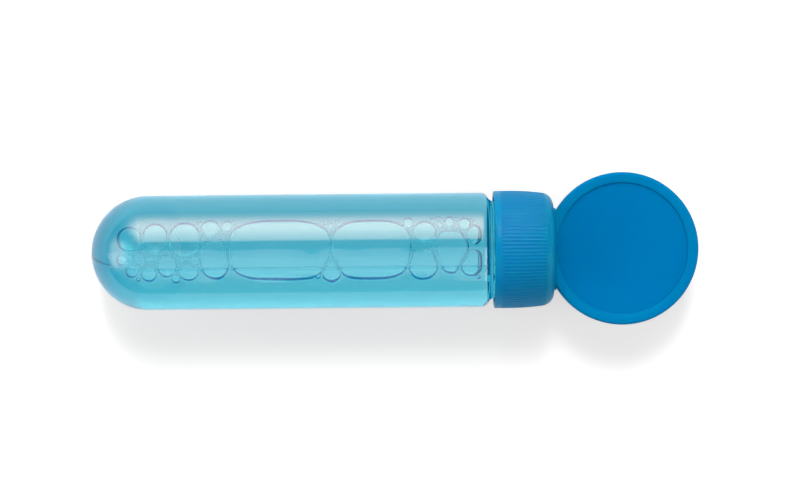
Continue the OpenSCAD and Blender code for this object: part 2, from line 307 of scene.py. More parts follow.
def makeSurface():
    bpy.ops.mesh.primitive_plane_add(size=stageSetup["surfaceSize"], location=(0, 0, 0))
    floor = bpy.context.object
    floor.name = "floor"
    material, shader = newMaterial("paleSurface", {
        "Roughness": stageSetup["surfaceRough"], "Specular IOR Level": 0, "Emission Color": white})
    tree = material.node_tree
    path = tree.nodes.new("ShaderNodeLightPath")
    passed, mirrored = path.outputs["Is Transmission Ray"], path.outputs["Is Glossy Ray"]
    # painted light: seen through the tube, the surface glows brighter, most on the -Y side under it, in
    # place of light that the tube would gather there
    way = splitUp(tree, tree.nodes.new("ShaderNodeTexCoord").outputs["Object"])
    aside = tree.nodes.new("ShaderNodeClamp")
    aside.inputs["Min"].default_value = -stageSetup["paintedGatherWidth"] * mm
    aside.inputs["Max"].default_value = stageSetup["paintedGatherWidth"] * mm
    tree.links.new(way["Y"], aside.inputs["Value"])
    plainGlow = stageSetup["surfaceGlow"]
    through = linkedMath(tree, "MULTIPLY_ADD", aside.outputs[0], -stageSetup["paintedGathered"] / mm,
                         stageSetup["paintedThroughGlow"] - plainGlow)
    glow = linkedMath(tree, "MULTIPLY_ADD", passed, through, plainGlow)
    # painted shade: seen in a mirror, the surface glows less
    mirror = linkedMath(tree, "GREATER_THAN", mirrored, passed)
    glow = linkedMath(tree, "MULTIPLY_ADD", mirror, stageSetup["paintedMirroredGlow"] - plainGlow, glow)
    tree.links.new(glow, shader.inputs["Emission Strength"])
    # painted shade: seen through the tube, the surface is less pale
    less = stageSetup["paintedThroughPale"] - stageSetup["surfacePale"]
    pale = linkedMath(tree, "MULTIPLY_ADD", passed, less, stageSetup["surfacePale"])
    tree.links.new(pale, shader.inputs["Base Color"])
    floor.data.materials.append(material)


def brightnessRamp(tree, factor, stops):
    ramp = tree.nodes.new("ShaderNodeValToRGB")
    tree.links.new(factor, ramp.inputs[0])
    elements = ramp.color_ramp.elements
    # a new ramp has two stops of its own
    for i, (position, bright) in enumerate(stops):
        element = elements[i] if i < 2 else elements.new(position)
        element.position = position
        element.color = (bright, bright, bright, 1)
    return ramp.outputs["Color"]


def makeSurroundings():
    world = bpy.data.worlds.new("studio")
    bpy.context.scene.world = world
    world.use_nodes = True
    tree = world.node_tree
    direction = tree.nodes.new("ShaderNodeTexCoord").outputs["Generated"]
    way = splitUp(tree, direction)
    # a ramp runs over half a turn, from the surface on the -Y side over the top to the +Y side
    angle = linkedMath(tree, "ARCTAN2", way["Y"], way["Z"])
    turned = linkedMath(tree, "MULTIPLY_ADD", angle, 1 / math.pi, 0.5)
    stops = [(0.5 + degrees / 180, bright) for degrees, bright in stageSetup["surroundings"]]
    total = brightnessRamp(tree, turned, stops)
    path = tree.nodes.new("ShaderNodeLightPath")
    mirrored, passed = path.outputs["Is Glossy Ray"], path.outputs["Is Transmission Ray"]
    shiny = linkedMath(tree, "MAXIMUM", mirrored, passed)
    least = stageSetup["diffuseShare"]
    share = linkedMath(tree, "MULTIPLY_ADD", shiny, 1 - least, least)
    total = linkedVector(tree, "SCALE", total, share)
    # the softboxes' ramps run over a quarter turn, from the surface to overhead
    height = linkedMath(tree, "ARCSINE", way["Z"])
    height = linkedMath(tree, "MULTIPLY", height, 2 / math.pi)
    for box in softboxes.values():
        turn = tree.nodes.new("ShaderNodeMapping")
        turn.inputs["Rotation"].default_value = (0, 0, math.radians(-box["around"]))
        tree.links.new(direction, turn.inputs["Vector"])
        boxWay = splitUp(tree, turn.outputs[0])
        aside = linkedMath(tree, "ARCTAN2", boxWay["Y"], boxWay["X"])
        aside = linkedMath(tree, "ABSOLUTE", aside)
        outer, inner = math.radians(box["halfWidth"] + box["soft"]), math.radians(box["halfWidth"])
        window = rangeMask(tree, aside, outer, inner, box["light"])
        stops = [(degrees / 90, bright) for degrees, bright in box["profile"]]
        profile = brightnessRamp(tree, height, stops)
        glow = linkedMath(tree, "MULTIPLY", window, profile)
        matt = (box["mattLight"] / box["light"],) * 3
        colour = mixVectors(tree, shiny, matt, box["colour"])
        total = linkedVector(tree, "ADD", total, linkedVector(tree, "SCALE", colour, glow))
    seen = mixVectors(tree, path.outputs["Is Camera Ray"], total, stageSetup["seenStraight"])
    tree.links.new(seen, tree.nodes["Background"].inputs["Color"])
    world.cycles.sampling_method = "MANUAL"
    world.cycles.sample_map_resolution = stageSetup["lightDetail"]


def setPicture():
    scene = bpy.context.scene
    scene.view_settings.view_transform = "Standard"
    scene.view_settings.look = "None"
    scene.cycles.max_bounces = pictureSetup["bounces"]
    scene.cycles.transmission_bounces = pictureSetup["bounces"]
    scene.cycles.glossy_bounces = pictureSetup["mirrorBounces"]
    scene.cycles.diffuse_bounces = pictureSetup["mattBounces"]
    scene.cycles.sample_clamp_indirect = pictureSetup["brightest"]
    scene.cycles.blur_glossy = pictureSetup["mirrorBlur"]
    scene.cycles.caustics_refractive = False


makeCamera()
makeSurface()
makeSurroundings()
setPicture()
print("camera and stage ready")


# Materials

# measures that a piece and its look share, in mm
tubeRadius = 12.0
discCentre, recessRadius = 111.25, 13.8

noiseMean = 0.5
darkAt, lightAt = 0.25, 0.75      # values of the waves' noise where a plastic is darkest and lightest
glowReach = (0.3, 0.7, 2.2)       # how far red, green and blue light spreads in it, in glow depths
mouldedSetup = {"Wave Scale": 60, "Grain Scale": 2500, "Roughness": 0.3, "Spread": 0.1}
mouldedDetail = {"Wave Scale": 3, "Grain Scale": 2}


def addTint(material, look):
    # light loses colour on its way through the piece
    tree = material.node_tree
    tint = tree.nodes.new("ShaderNodeVolumeAbsorption")
    tint.inputs["Color"].default_value = (*look["absorbed"], 1)
    tint.inputs["Density"].default_value = look["absorbDensity"]
    tree.links.new(tint.outputs[0], tree.nodes["Material Output"].inputs["Volume"])


def addBump(tree, shader, height, depth):
    bump = tree.nodes.new("ShaderNodeBump")
    bump.inputs["Distance"].default_value = depth
    bump.inputs["Strength"].default_value = 1
    tree.links.new(height, bump.inputs["Height"])
    tree.links.new(bump.outputs[0], shader.inputs["Normal"])


def makeMouldedGroup():
    # what moulding leaves on plastic: faint flow waves and a fine satin grain
    tree = bpy.data.node_groups.new("mouldedSurface", "ShaderNodeTree")
    for name, value in mouldedSetup.items():
        socket = tree.interface.new_socket(name, in_out="INPUT", socket_type="NodeSocketFloat")
        socket.default_value = value
    for name in ("Roughness", "Waves", "Grain"):
        tree.interface.new_socket(name, in_out="OUTPUT", socket_type="NodeSocketFloat")
    given, put = tree.nodes.new("NodeGroupInput").outputs, tree.nodes.new("NodeGroupOutput").inputs
    place = tree.nodes.new("ShaderNodeTexCoord").outputs["Object"]
    textures = []
    for name, detail in mouldedDetail.items():
        texture = tree.nodes.new("ShaderNodeTexNoise")
        texture.inputs["Detail"].default_value = detail
        tree.links.new(place, texture.inputs["Vector"])
        tree.links.new(given[name], texture.inputs["Scale"])
        textures.append(texture.outputs[0])
    waves, grain = textures
    centred = linkedMath(tree, "SUBTRACT", waves, noiseMean)
    rough = linkedMath(tree, "MULTIPLY_ADD", centred, given["Spread"], given["Roughness"])
    for name, value in (("Roughness", rough), ("Waves", waves), ("Grain", grain)):
        tree.links.new(value, put[name])
    return tree


mouldedSurface = makeMouldedGroup()


def addMoulded(tree, values):
    moulded = tree.nodes.new("ShaderNodeGroup")
    moulded.node_tree = mouldedSurface
    for name, value in values.items():
        moulded.inputs[name].default_value = value
    return moulded


def paintedShineByPlace(material, shader, look):
    # painted reflection: the studio's mirroring is painted out of the lower half and the neck,
    # and inner faces are given a different share of it from outer ones, which paints the bubbles' highlights
    tree = material.node_tree
    way = splitUp(tree, tree.nodes.new("ShaderNodeTexCoord").outputs["Object"])
    fromDome = linkedMath(tree, "SUBTRACT", way["X"], tipX + tubeRadius * mm)
    fromDome = linkedMath(tree, "MINIMUM", fromDome, 0)
    fromLine = linkedMath(tree, "SUBTRACT", way["Z"], lineZ)
    away = tree.nodes.new("ShaderNodeCombineXYZ")
    for value, socket in zip((fromDome, way["Y"], fromLine), away.inputs):
        tree.links.new(value, socket)
    radius = tree.nodes.new("ShaderNodeVectorMath")
    radius.operation = "LENGTH"
    tree.links.new(away.outputs[0], radius.inputs[0])
    outside = linkedMath(tree, "GREATER_THAN", radius.outputs["Value"], look["shineEdge"] * mm)
    inner = look["innerShine"]
    bright = linkedMath(tree, "MULTIPLY_ADD", outside, look["outerShine"] - inner, inner)
    fade = look["shineFade"] * mm
    upper = rangeMask(tree, fromLine, -fade, fade, ease="LINEAR")
    barrel = linkedMath(tree, "LESS_THAN", way["X"], tipX + look["shineEnd"] * mm)
    share = linkedMath(tree, "MULTIPLY", upper, barrel)
    bright = linkedMath(tree, "MULTIPLY", bright, share)
    bright = linkedMath(tree, "MAXIMUM", bright, look["leastShine"])
    tree.links.new(bright, shader.inputs["Specular Tint"])


clearLook = {
    "index": 1.53,
    "absorbed": (0.0, 0.7955, 0.88), "absorbDensity": 660,
    # painted light: the tube's plastic glows a faint blue of its own, to lighten what shows dark through it
    "paintedGlow": (0.0, 0.42, 0.78), "paintedGlowStrength": 0.06,
    # painted reflection: the shares of mirroring set by place
    "outerShine": 1.0, "innerShine": 0.1, "leastShine": 0.1,
    "shineEdge": 11.4, "shineEnd": 83.2,    # mm from the line and along it
    "shineFade": 1,                         # mm above and below the line
    "seamAngle": 17.3,                      # degrees from the top, on the -Y side
    "seamWidth": 0.25, "seamHeight": 0.08,  # mm
    # blowing left waves and fine streaks in a band along the tube: its middle, from the line
    # towards +Y, its reach to both sides, and where it begins and is full, in mm
    "wavyAt": -2.4, "wavyWide": 4.2, "wavyFrom": 20, "wavyFull": 27,
    "waves": 95, "waveSlope": 0.72,         # per metre along, and slope across
    "streaks": (55, 1500), "streakDeep": 0.025,   # per metre along and across, and mm
    "noiseDetail": 1,
}


def blownRelief(tree, look):
    # what blowing leaves on the wall, as a height in mm
    place = tree.nodes.new("ShaderNodeTexCoord").outputs["Object"]
    centre, turn = tree.nodes.new("ShaderNodeMapping"), tree.nodes.new("ShaderNodeMapping")
    centre.inputs["Location"].default_value = (0, 0, -lineZ)
    turn.inputs["Rotation"].default_value = (math.radians(-look["seamAngle"]), 0, 0)
    tree.links.new(place, centre.inputs["Vector"])
    tree.links.new(centre.outputs[0], turn.inputs["Vector"])
    turned = splitUp(tree, turn.outputs[0])
    # the mould's seam: a fine raised line
    aside = linkedMath(tree, "ABSOLUTE", turned["Y"])
    seam = rangeMask(tree, aside, look["seamWidth"] * mm, 0)
    upper = linkedMath(tree, "GREATER_THAN", turned["Z"], 0)
    seam = linkedMath(tree, "MULTIPLY", seam, upper)
    height = linkedMath(tree, "MULTIPLY", seam, look["seamHeight"])
    # the wavy band
    way = splitUp(tree, place)
    beside = linkedMath(tree, "SUBTRACT", way["Y"], look["wavyAt"] * mm)
    beside = linkedMath(tree, "ABSOLUTE", beside)
    band = rangeMask(tree, beside, look["wavyWide"] * mm, look["wavyWide"] / 2 * mm)
    begin, full = tipX + look["wavyFrom"] * mm, tipX + look["wavyFull"] * mm
    share = linkedMath(tree, "MULTIPLY", band, rangeMask(tree, way["X"], begin, full))
    share = linkedMath(tree, "MULTIPLY", share, upper)
    across = linkedMath(tree, "MULTIPLY", way["Y"], look["waveSlope"] / mm)
    for scale, depth in (((look["waves"], 0), across), (look["streaks"], look["streakDeep"])):
        stretch, texture = tree.nodes.new("ShaderNodeMapping"), tree.nodes.new("ShaderNodeTexNoise")
        stretch.inputs["Scale"].default_value = (*scale, 0)
        texture.inputs["Scale"].default_value = 1
        texture.inputs["Detail"].default_value = look["noiseDetail"]
        tree.links.new(place, stretch.inputs["Vector"])
        tree.links.new(stretch.outputs[0], texture.inputs["Vector"])
        wave = linkedMath(tree, "SUBTRACT", texture.outputs[0], noiseMean)
        wave = linkedMath(tree, "MULTIPLY", wave, share)
        height = linkedMath(tree, "MULTIPLY_ADD", wave, depth, height)
    return height


def makeTubePlastic(look):
    material, shader = newMaterial("clearTubePlastic", {
        "Base Color": white, "Metallic": 0, "Roughness": 0, "IOR": look["index"], "Transmission Weight": 1,
        "Emission Color": (*look["paintedGlow"], 1), "Emission Strength": look["paintedGlowStrength"]})
    paintedShineByPlace(material, shader, look)
    addTint(material, look)
    tree = material.node_tree
    addBump(tree, shader, blownRelief(tree, look), mm)
    return material


liquidLook = {
    "index": 1.36,
    "absorbed": (0.0, 0.62, 0.63), "absorbDensity": 25,
    # painted reflection: the shares of mirroring set by place, stronger on the bubbles
    "outerShine": 0.1, "innerShine": 1.2, "leastShine": 0.1,
    "shineEdge": 10.8, "shineEnd": 82.2,    # mm from the line and along it
    "shineFade": 1,                         # mm above and below the line
}


def makeLiquid(look):
    material, shader = newMaterial("soapSolution", {
        "Base Color": white, "Metallic": 0, "Roughness": 0, "IOR": look["index"], "Transmission Weight": 1})
    paintedShineByPlace(material, shader, look)
    addTint(material, look)
    return material


# painted shade is a factor on the colour, over a stretch from a place along the line up to a distance away,
# in mm
capLook = {
    "dark": (0.0, 0.30, 0.63), "light": (0.0, 0.33, 0.67), "paintedShade": (1, 0.89, 0.955),
    "paintedShadeAt": 90.35, "paintedShadeTo": 4.6, "paintedShadeRound": False,     # painted shade over the ribbed part
    "index": 1.12, "specular": 1, "shine": (1, 1, 1),
    "glow": 0.6, "glowDepth": 1.8, "grainDepth": 0.004,     # depths in mm
    "moulded": {"Wave Scale": 90, "Grain Scale": 3000, "Roughness": 0.32, "Spread": 0.08},
}
discLook = {
    "dark": (0.0, 0.244, 0.55), "light": (0.0, 0.268, 0.585), "paintedShade": (1, 0.86, 0.976),
    "paintedShadeAt": discCentre, "paintedShadeTo": recessRadius, "paintedShadeRound": True,     # painted shade in the recess
    "index": 1.3, "specular": 0.3, "shine": (0.02, 0.6, 1),
    "glow": 0.3, "glowDepth": 1.6, "grainDepth": 0.003,
    "moulded": {"Wave Scale": 60, "Grain Scale": 3500, "Roughness": 0.42, "Spread": 0.08},
}
washerLook = {
    "dark": (0.70, 0.71, 0.70), "light": (0.86, 0.87, 0.86),
    "index": 1.45, "specular": 0.2, "shine": (1, 1, 1),
    "glow": 0.1, "glowDepth": 0.8, "grainDepth": 0.05,
    "moulded": {"Wave Scale": 900, "Grain Scale": 2200, "Roughness": 0.85, "Spread": 0.1},
}


# painted shade: a part of the piece darkened by a factor
def paintedShadePart(tree, look, colour):
    way = splitUp(tree, tree.nodes.new("ShaderNodeTexCoord").outputs["Object"])
    away = linkedMath(tree, "SUBTRACT", way["X"], tipX + look["paintedShadeAt"] * mm)
    if look["paintedShadeRound"]:
        square = linkedMath(tree, "MULTIPLY", way["Y"], way["Y"])
        square = linkedMath(tree, "MULTIPLY_ADD", away, away, square)
        away = linkedMath(tree, "SQRT", square)
    away = linkedMath(tree, "ABSOLUTE", away)
    within = linkedMath(tree, "LESS_THAN", away, look["paintedShadeTo"] * mm)
    factor = mixVectors(tree, within, white[:3], look["paintedShade"])
    return linkedVector(tree, "MULTIPLY", colour, factor)


def makeColouredPlastic(name, look):
    material, shader = newMaterial(name, {
        "Metallic": 0, "IOR": look["index"], "Specular IOR Level": look["specular"],
        "Specular Tint": (*look["shine"], 1), "Subsurface Weight": look["glow"],
        "Subsurface Radius": glowReach, "Subsurface Scale": look["glowDepth"] * mm})
    tree = material.node_tree
    moulded = addMoulded(tree, look["moulded"])
    ramp = tree.nodes.new("ShaderNodeValToRGB")
    for element, position, shade in zip(ramp.color_ramp.elements, (darkAt, lightAt), ("dark", "light")):
        element.position = position
        element.color = (*look[shade], 1)
    tree.links.new(moulded.outputs["Waves"], ramp.inputs[0])
    colour = ramp.outputs["Color"]
    if "paintedShade" in look:
        colour = paintedShadePart(tree, look, colour)
    tree.links.new(colour, shader.inputs["Base Color"])
    tree.links.new(moulded.outputs["Roughness"], shader.inputs["Roughness"])
    addBump(tree, shader, moulded.outputs["Grain"], look["grainDepth"] * mm)
    return material


wandLook = {
    "index": 1.006,       # clear plastic as the liquid round it makes it look
    "absorbed": (0.0, 0.8, 0.92), "absorbDensity": 110,
    "coat": 0.15, "coatRough": 0.1,
    "moulded": {"Roughness": 0.08, "Spread": 0.08},
}


def makeWandPlastic(look):
    material, shader = newMaterial("clearWandPlastic", {
        "Base Color": white, "Metallic": 0, "IOR": look["index"], "Transmission Weight": 1,
        "Coat Weight": look["coat"], "Coat Roughness": look["coatRough"]})
    addTint(material, look)
    tree = material.node_tree
    moulded = addMoulded(tree, look["moulded"])
    tree.links.new(moulded.outputs["Roughness"], shader.inputs["Roughness"])
    return material


tubePlastic = makeTubePlastic(clearLook)
soapLiquid = makeLiquid(liquidLook)
capPlastic = makeColouredPlastic("ribbedCapPlastic", capLook)
discPlastic = makeColouredPlastic("discHandlePlastic", discLook)
washerFoam = makeColouredPlastic("washerFoam", washerLook)
wandPlastic = makeWandPlastic(wandLook)
print("materials ready")


def finishPiece(piece, material, node, body):
    bpy.ops.object.select_all(action="DESELECT")
    piece.data.materials.clear()
    piece.data.materials.append(material)
    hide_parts(node)
    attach(piece, body)
    print(piece.name, "finished,", len(piece.data.polygons), "faces")


# Tube: dome, barrel, shoulder and threaded neck, blown as one hollow piece

tubeShape = {
    "radius": tubeRadius, "bore": 10.8, "length": 83.4,
    "domeDeep": 9.4, "domeSteps": 30,                             # the dome inside
    "gate": 1.5, "gateDepth": 0.2, "gateRim": 0.094,              # the rim's place along the line
    "gateShape": ((0, 1), (0.6, 1), (0.8, 0.5)),                  # shares of its radius and depth
    "rings": (20, 32, 44, 56, 68),                                # along the barrel
    "shoulderRound": 1.8, "shoulderStop": 3.2, "shoulderSteps": 10,   # its arc stops at these degrees
    "fillet": 0.65, "filletSteps": 8,
    "neck": 10.3, "neckRing": 5, "mouth": 8.7, "mouthChamfer": 0.15,
    "lip": 94.6, "lipRound": 0.4, "lipSteps": 5,
    "cavityEnd": 82.4, "cavityRound": 0.5, "cavitySteps": 8,
    "steps": 160,
}
neckThread = {
    "start": 89.15, "radius": tubeShape["neck"], "height": 0.7, "sunk": 0.15, "foot": 1.4, "crest": 0.6,
    "pitch": 3, "degrees": 450, "stepDegrees": 5, "fadeDegrees": 35,
}


def domePoints(radius, deep, start, stop):
    # the dome's wall is thickest at its tip
    middle = tubeShape["radius"]
    arc = arcPoints(middle, 0, radius, start, stop, tubeShape["domeSteps"])
    return [(middle + (x - middle) * deep / radius, r) for x, r in arc]


def outerWall(shape):
    r, neck, gate = shape["radius"], shape["neck"], shape["gate"]
    line = [(shape["gateRim"] + shape["gateDepth"] * down, gate * wide) for wide, down in shape["gateShape"]]
    gateEdge = 180 - math.degrees(math.asin(gate / r))
    line += arcPoints(r, 0, r, gateEdge, 90, shape["domeSteps"])
    line += [(x, r) for x in shape["rings"]]
    corner = shape["shoulderRound"]
    line += arcPoints(shape["length"] - corner, r - corner, corner, 90, shape["shoulderStop"],
                      shape["shoulderSteps"])
    fillet = shape["fillet"]
    line += arcPoints(shape["length"] + fillet, neck + fillet, fillet, 180, 270, shape["filletSteps"])
    lip, corner = shape["lip"], shape["lipRound"]
    line += [(lip - shape["neckRing"], neck), (lip - corner, neck)]
    return line + arcPoints(lip - corner, neck - corner, corner, 90, 0, shape["lipSteps"], True)


def innerWall(shape):
    lip, mouth, chamfer = shape["lip"], shape["mouth"], shape["mouthChamfer"]
    end, bore, corner = shape["cavityEnd"], shape["bore"], shape["cavityRound"]
    line = [(lip, mouth + chamfer), (lip - chamfer, mouth), (end, mouth)]
    line += arcPoints(end - corner, bore - corner, corner, 0, 90, shape["cavitySteps"])
    line += [(x, bore) for x in reversed(shape["rings"])]
    return line + domePoints(bore, shape["domeDeep"], 90, 180)


def makeTube(shape):
    tube = turnPiece("tubeShell", outerWall(shape) + innerWall(shape), shape["steps"])
    unite(tube, makeThread("neckThread", neckThread))
    bpy.ops.object.shade_smooth_by_angle(angle=math.radians(smoothUnder))
    return tube


finishPiece(makeTube(tubeShape), tubePlastic, "tube", "tube")


# Soap solution, with the raft of air bubbles that lies under the tube's upper wall

liquidShape = {"radius": 10.82, "mouth": 8.72, "end": 93.4, "shoulder": 82.42, "corner": 0.52,
               "cornerSteps": 8, "steps": 160}
# mm along the tube and across it, half length and half width; a fifth value makes the +Y side squarer
bubbleRaft = [
    (9.05, 2.6, 2.5, 2.45), (14.2, 2.75, 2.65, 3.0), (20.35, 2.35, 3.25, 3.5), (25.6, 4.6, 1.9, 1.65),
    (29.05, 5.0, 1.1, 1.05), (26.5, -1.5, 3.15, 3.85), (7.5, -1.4, 1.0, 1.05), (9.5, -3.55, 1.3, 1.3),
    (12.85, -4.2, 1.6, 1.45), (16.6, -2.7, 2.0, 2.2), (18.4, -5.1, 0.9, 0.85), (21.05, -3.9, 2.05, 1.65),
    (10.9, -1.2, 1.2, 1.15), (13.3, -1.3, 0.8, 0.75), (22.35, -1.65, 1.05, 1.0), (10.7, -5.2, 0.45, 0.45),
    (12.0, 0.35, 0.45, 0.45), (19.7, -1.7, 0.55, 0.5), (39.9, 0.25, 10.8, 5.9), (50.55, -3.8, 2.25, 2.25),
    (47.7, -4.8, 0.55, 0.55), (50.45, 4.95, 0.65, 0.65), (50.45, -1.15, 0.3, 0.3), (58.85, 0.2, 8.3, 5.8),
    (66.45, 5.35, 1.05, 1.0), (69.85, 3.5, 2.35, 2.15), (69.5, -2.6, 3.15, 3.1),
    (75.6, -0.4, 3.35, 4.3, 1.2), (75.0, 5.5, 1.0, 0.95), (78.1, 5.05, 1.3, 1.2), (73.0, 4.9, 0.65, 0.65),
    (80.0, 2.9, 1.55, 1.95), (79.3, -2.6, 2.3, 2.7, 1.2), (80.9, -5.5, 0.4, 0.4), (76.7, 6.15, 0.3, 0.25),
    (71.9, 2.55, 0.45, 0.45),
]
# some lean on the froth beside them: direction in degrees and distance of each flat side
flatSides = {
    1: ((-45, 2.68), (-134, 2.74)),
    2: ((-52, 3.25), (-130, 3.3)),
    26: ((22, 2.8), (158, 2.8), (90, 2.9)),
    27: ((-33, 3.85), (-147, 3.9)),
}
raftShape = {
    "film": 0.12,                        # mm of liquid between neighbours
    "swell": 0.08, "swellFrom": 0.8,     # mm added all round, past this half length
    "square": 2.1,                       # power of the outline, 2 for an ellipse
    "squarer": ((0.4, 2.7, 1), (0.5, 4, 4)),   # what is added, past a half length, over a stretch
    "corner": 0.1, "leastPower": 8,      # how sharply free sides turn into flat films
    "leastFacing": 0.05,                 # a film counts where this much of it faces the angle
    "tiny": 0.3,                         # a neighbour under this share of a bubble doesn't flatten it
    "small": 1.3, "slight": 0.35,        # nor does a slight overlap flatten a small bubble
    "tall": 3.2, "tallRate": 0.55,       # greatest height, and how soon a size comes near it
    "wallGap": 0.02, "leastHeight": 0.1,       # mm from the wall, and the least from the line
    "domedUnder": 3.8, "domedOver": 1.5,       # half widths under this have a rounder underside
    "nose": 0.45, "domedNose": 0.25,     # share of the height over the widest line, and what is added
    "domedSide": 0.6, "bottomAt": 0.9,   # share of the rounding, and of the half width
    "edge": 0.58, "contactEdge": 0.30,   # mm that the side's turn reaches inward, free or at a film
    "freeWithin": 0.06, "lowSide": 0.2,  # where it counts as free, and as the -Y side
    "smallEdge": 0.4, "fullEdgeFrom": 4.5,     # the smallest have this share of the edge
    "rings": 24, "longRings": 44, "longFrom": 5, "frothRings": 8,
}
froth = {
    "seed": 11, "tries": 5000, "sizes": (0.13, 0.42), "gap": 0.02,
    # from and to along the tube, from and to across it
    "patches": [(8, 24, -4.4, 1.2), (22.5, 31, 2.4, 6.0), (71, 80, 3.4, 6.4), (48.8, 51.8, 1.0, 5.8),
                (71, 74, 0.5, 4.5), (17, 24, -1.6, 0.4)],
}


def wallHeight(x, y):
    # the tube's upper inner wall, a hair inside it
    bore, bend = tubeShape["bore"], tubeShape["cavityRound"]
    back = max(0, tubeShape["radius"] - x) * bore / tubeShape["domeDeep"]
    into = min(bend, max(0, x - tubeShape["cavityEnd"] + bend))
    radius = bore + (math.sqrt(bend * bend - into * into) - bend - raftShape["wallGap"])
    return math.sqrt(max(raftShape["leastHeight"] ** 2, radius * radius - y * y - back * back))


def freeReach(bubble, angle):
    # how far a bubble's outline reaches where nothing touches it
    halfLong, halfWide = bubble[2:4]
    square = raftShape["square"]
    for more, start, over in raftShape["squarer"]:
        square += more * clamp((halfLong - start) / over)
    if math.sin(angle) > 0:
        square += sum(bubble[4:])
    swell = raftShape["swell"] if halfLong > raftShape["swellFrom"] else 0
    along, across = abs(math.cos(angle)) / (halfLong + swell), abs(math.sin(angle)) / (halfWide + swell)
    return 1 / (along ** square + across ** square) ** (1 / square)


def findContacts(number):
    # where a flat film parts this bubble from each neighbour that it meets
    bubble = bubbleRaft[number]
    contacts = [(math.radians(degrees), distance) for degrees, distance in flatSides.get(number, ())]
    for other in bubbleRaft[:number] + bubbleRaft[number + 1:]:
        apart = math.hypot(other[0] - bubble[0], other[1] - bubble[1])
        toward = math.atan2(other[1] - bubble[1], other[0] - bubble[0])
        mine, its = freeReach(bubble, toward), freeReach(other, toward + math.pi)
        overlap = mine + its + raftShape["film"] - apart
        size, itsSize = min(bubble[2:4]), min(other[2:4])
        tinyIt, tinyMe = itsSize < raftShape["tiny"] * size, size < raftShape["tiny"] * itsSize
        slight = size < raftShape["small"] and overlap < raftShape["slight"]
        if overlap > 0 and not tinyIt and not slight:
            contacts.append((toward, mine - (overlap if tinyMe else overlap / 2)))
    return contacts


def heldReach(bubble, contacts, angle):
    # the same, where films hold it back
    power = max(raftShape["leastPower"], min(bubble[2:4]) / raftShape["corner"])
    total = freeReach(bubble, angle) ** -power
    for toward, limit in contacts:
        facing = math.cos(angle - toward)
        if facing > raftShape["leastFacing"]:
            total += (limit / facing) ** -power
    return total ** (-1 / power)


def shapeBubble(ball, bubble, contacts):
    # the top lies along the tube's wall, the underside is level, and the side between them is round
    x, y, halfLong, halfWide = bubble[:4]
    shape, size = raftShape, min(halfLong, halfWide)
    tall = shape["tall"] * math.tanh(shape["tallRate"] * size)
    domed = clamp((shape["domedUnder"] - size) / shape["domedOver"])
    upper = (shape["nose"] + shape["domedNose"] * domed) * tall
    bottom = wallHeight(x, abs(y) + halfWide * shape["bottomAt"]) - tall
    edgeShare = shape["smallEdge"] + (1 - shape["smallEdge"]) * min(1, size / shape["fullEdgeFrom"])
    for v in ball.data.vertices:
        u = v.co.normalized()
        spread = min(1, math.hypot(u.x, u.y))
        angle = math.atan2(u.y, u.x)
        reach = heldReach(bubble, contacts, angle)
        free = clamp(1 - (1 - reach / freeReach(bubble, angle)) / shape["freeWithin"])
        low = clamp(shape["lowSide"] - math.sin(angle))
        edge = shape["contactEdge"] + (shape["edge"] - shape["contactEdge"]) * free * low
        edge = min(edge * edgeShare, reach)
        inward = max(0, 1 - (1 - spread) * reach / edge)
        side = 1 - math.sqrt(1 - inward * inward)
        px, py = x + spread * reach * math.cos(angle), y + spread * reach * math.sin(angle)
        rim = wallHeight(x + reach * math.cos(angle), y + reach * math.sin(angle)) - upper
        if u.z > 0:
            pz = wallHeight(px, py) - upper * side
        else:
            side += (1 - math.sqrt(1 - spread * spread) - side) * domed * shape["domedSide"]
            pz = bottom + (rim - bottom) * side
        v.co = onLine(px, pz) + Vector((0, py * mm, 0))


def makeBubble(name, bubble, rings, contacts=()):
    bpy.ops.object.select_all(action="DESELECT")
    bpy.ops.mesh.primitive_uv_sphere_add(segments=rings * 2, ring_count=rings, radius=mm, location=(0, 0, 0))
    ball = bpy.context.object
    ball.name = name
    shapeBubble(ball, bubble, contacts)
    bpy.ops.object.mode_set(mode="EDIT")
    closeUp(180, outward=False)     # smooth all over, and the liquid is on its outside
    return ball


def makeFroth():
    # tiny bubbles fill the chinks between the large ones
    chance = random.Random(froth["seed"])
    small = []
    for _ in range(froth["tries"]):
        x0, x1, y0, y1 = chance.choice(froth["patches"])
        x, y = chance.uniform(x0, x1), chance.uniform(y0, y1)
        r = chance.uniform(*froth["sizes"])
        clear = True
        for other in bubbleRaft + small:
            apart = math.hypot(x - other[0], y - other[1])
            reach = freeReach(other, math.atan2(y - other[1], x - other[0]))
            clear = clear and apart > reach + r + froth["gap"]
        if clear:
            small.append((x, y, r, r))
    print(len(small), "bubbles of froth")
    return small


def makeSolution(shape):
    r, end, shoulder, corner = shape["radius"], shape["end"], shape["shoulder"], shape["corner"]
    line = domePoints(r, tubeShape["domeDeep"] + r - tubeShape["bore"], 180, 90)
    line += [(x, r) for x in tubeShape["rings"]]
    line += arcPoints(shoulder - corner, r - corner, corner, 90, 0, shape["cornerSteps"])
    line += [(shoulder, shape["mouth"]), (end, shape["mouth"]), (end, 0)]
    parts = [turnPiece("soapSolution", line, shape["steps"])]
    for i, bubble in enumerate(bubbleRaft):
        rings = raftShape["longRings" if bubble[2] > raftShape["longFrom"] else "rings"]
        parts.append(makeBubble("bubble%d" % i, bubble, rings, findContacts(i)))
    for i, bubble in enumerate(makeFroth()):
        parts.append(makeBubble("froth%d" % i, bubble, raftShape["frothRings"]))
    return joinAll(parts)


finishPiece(makeSolution(liquidShape), soapLiquid, "soap_solution", "tube")


# Screw cap: one rib's slice is shaped, then copied round

